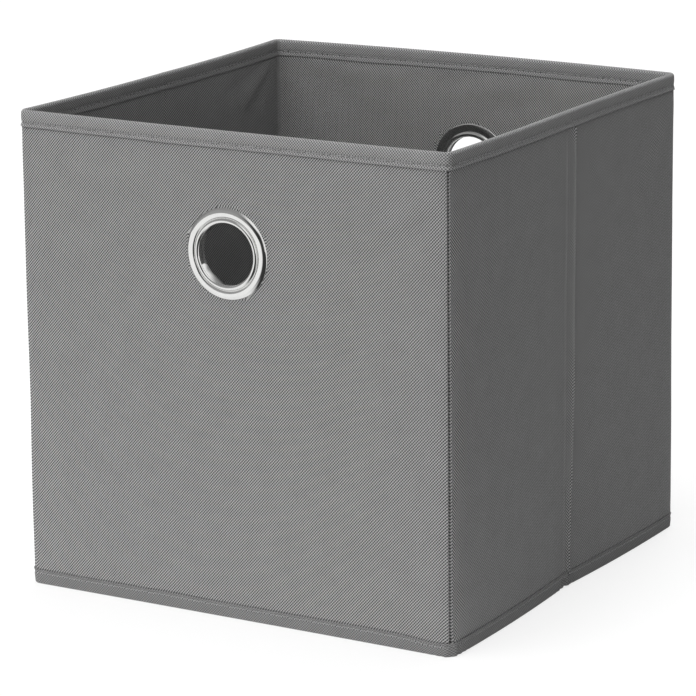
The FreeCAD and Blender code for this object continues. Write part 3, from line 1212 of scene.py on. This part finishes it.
def floor_material():
    """White to the camera but for the shadow, pale to the box and banded to the metal."""
    material, tree = new_material("studio_floor")
    where = tree.nodes.new("ShaderNodeNewGeometry").outputs["Position"]
    x, y, _ = add_node(tree, "ShaderNodeSeparateXYZ", where).outputs
    x_squared, y_squared = (math_node(tree, "MULTIPLY", value, value) for value in (x, y))
    distance = math_node(tree, "SQRT", math_node(tree, "ADD", x_squared, y_squared))
    shade = smooth_range(tree, towards_shade(tree, x, y), -0.02, 0.20, 1.0, 0.36)
    shade = math_node(tree, "MULTIPLY", shade, smooth_range(tree, distance, 0.25, 0.80, 0.90, 0.50))
    bounce = add_node(tree, "ShaderNodeBsdfDiffuse", grey_colour(tree, shade))
    paper_grey = 1 - FLOOR_GLOW
    paper = add_node(tree, "ShaderNodeBsdfDiffuse", (paper_grey, paper_grey, paper_grey))
    glow = add_node(tree, "ShaderNodeEmission", Strength=FLOOR_GLOW)
    seen = add_node(tree, "ShaderNodeAddShader", paper.outputs[0], glow.outputs[0])
    far = smooth_range(tree, distance, 0.30, 0.60, 0.0, 1.0)
    far = math_node(tree, "MAXIMUM", far, smooth_range(tree, x, 0.0, 0.1, 0.0, 1.0))
    bands = mix_colour(tree, far, (0.95, 0.95, 0.95), mirror_bands(tree, x, y, GROUND_BEARINGS))
    mirrored = add_node(tree, "ShaderNodeEmission", bands)
    straight = path_share(tree, "Is Camera Ray", "Is Transmission Ray")
    surface = mix_shader(tree, straight, bounce.outputs[0], seen.outputs[0])
    surface = mix_shader(tree, path_share(tree, "Is Glossy Ray"), surface, mirrored.outputs[0])
    add_node(tree, "ShaderNodeOutputMaterial", Surface=surface)
    return material


def build_stage():
    mesh = bpy.data.meshes.new("studio_floor")
    corners = [(FLOOR_SIZE * x, FLOOR_SIZE * y, 0) for x, y in ((-1, -1), (1, -1), (1, 1), (-1, 1))]
    mesh.from_pydata(corners, [], [(0, 1, 2, 3)])
    mesh.materials.append(floor_material())
    add_object("studio_floor", mesh)


# The sky that lights the box: bright near the horizon, dim overhead, less from the shade side
HORIZON_LIGHT = 1.8
OVERHEAD_LIGHT = 0.16
WHITE = (1.0, 1.0, 1.0)


def build_world():
    world = bpy.data.worlds.new("studio")
    bpy.context.scene.world = world
    tree = new_tree(world)
    where = tree.nodes.new("ShaderNodeTexCoord").outputs["Generated"]
    x, y, z = add_node(tree, "ShaderNodeSeparateXYZ", where).outputs
    low = smooth_range(tree, z, 0.02, 0.42, 1.0, 0.0)
    side = smooth_range(tree, towards_shade(tree, x, y), -0.5, 0.3, 1.0, 0.12)
    band = math_node(tree, "MULTIPLY", math_node(tree, "MULTIPLY", low, side), HORIZON_LIGHT)
    strength = math_node(tree, "ADD", band, OVERHEAD_LIGHT)
    sky = add_node(tree, "ShaderNodeBackground", Color=WHITE, Strength=strength)
    white = add_node(tree, "ShaderNodeBackground", Color=WHITE)
    ceiling = grey_colour(tree, smooth_range(tree, x, -0.2, 0.35, 0.30, 1.0))
    high = smooth_range(tree, z, 0.35, 0.60, 0.0, 1.0)
    walls = mirror_bands(tree, x, y, SKY_BEARINGS)
    mirrored = add_node(
        tree, "ShaderNodeBackground", Color=mix_colour(tree, high, walls, ceiling))
    light = mix_shader(
        tree, path_share(tree, "Is Glossy Ray"), sky.outputs[0], mirrored.outputs[0])
    straight = path_share(tree, "Is Camera Ray", "Is Transmission Ray")
    surface = mix_shader(tree, straight, light, white.outputs[0])
    add_node(tree, "ShaderNodeOutputWorld", Surface=surface)


# Broad lamps: strength, and the way towards them
LAMPS = {
    "key": (0.42, (-0.26, -0.34, 0.90)),
    "frontal": (0.22, (0.22, -0.88, 0.42)),
    "overhead": (0.40, (0.0, 0.05, 1.0)),
    "backlight": (0.35, (-0.14, 0.80, 0.58)),
}
LAMP_ANGLE = math.radians(35)


def build_lamps():
    for name, (strength, towards) in LAMPS.items():
        light = bpy.data.lights.new(name, "SUN")
        light.energy = strength * math.pi
        light.angle = LAMP_ANGLE
        lamp = add_object(name, light)
        lamp.visible_glossy = False
        lamp.rotation_mode = "QUATERNION"
        lamp.rotation_quaternion = Vector(towards).to_track_quat("Z", "Y")


# The camera's bearing, tilt and distance, found from the box's outline in the photograph
AZIMUTH = math.radians(30.597)
ELEVATION = math.radians(14.323)
ROLL = math.radians(-0.633)
DISTANCE = 2.372
TARGET = Vector((-0.00757, 0.0, 0.14443))
FOCAL_PIXELS = 3496.6
PICTURE_PIXELS = 696.0
SENSOR = 36.0


def build_camera():
    data = bpy.data.cameras.new("camera")
    data.sensor_width = SENSOR
    data.lens = FOCAL_PIXELS / PICTURE_PIXELS * SENSOR
    data.clip_start, data.clip_end = 0.05, 50.0
    camera = add_object("camera", data)
    back = Vector((
        math.sin(AZIMUTH) * math.cos(ELEVATION),
        -math.cos(AZIMUTH) * math.cos(ELEVATION),
        math.sin(ELEVATION),
    ))
    camera.location = TARGET + back * DISTANCE
    camera.rotation_mode = "QUATERNION"
    upright = (-back).to_track_quat("-Z", "Y")
    camera.rotation_quaternion = upright @ Quaternion((0, 0, 1), ROLL)
    bpy.context.scene.camera = camera


build_walls()
build_joins()
build_eyelets()
build_floor()
build_insert()
build_stage()
build_world()
build_lamps()
build_camera()
bpy.context.scene.view_settings.view_transform = "Standard"
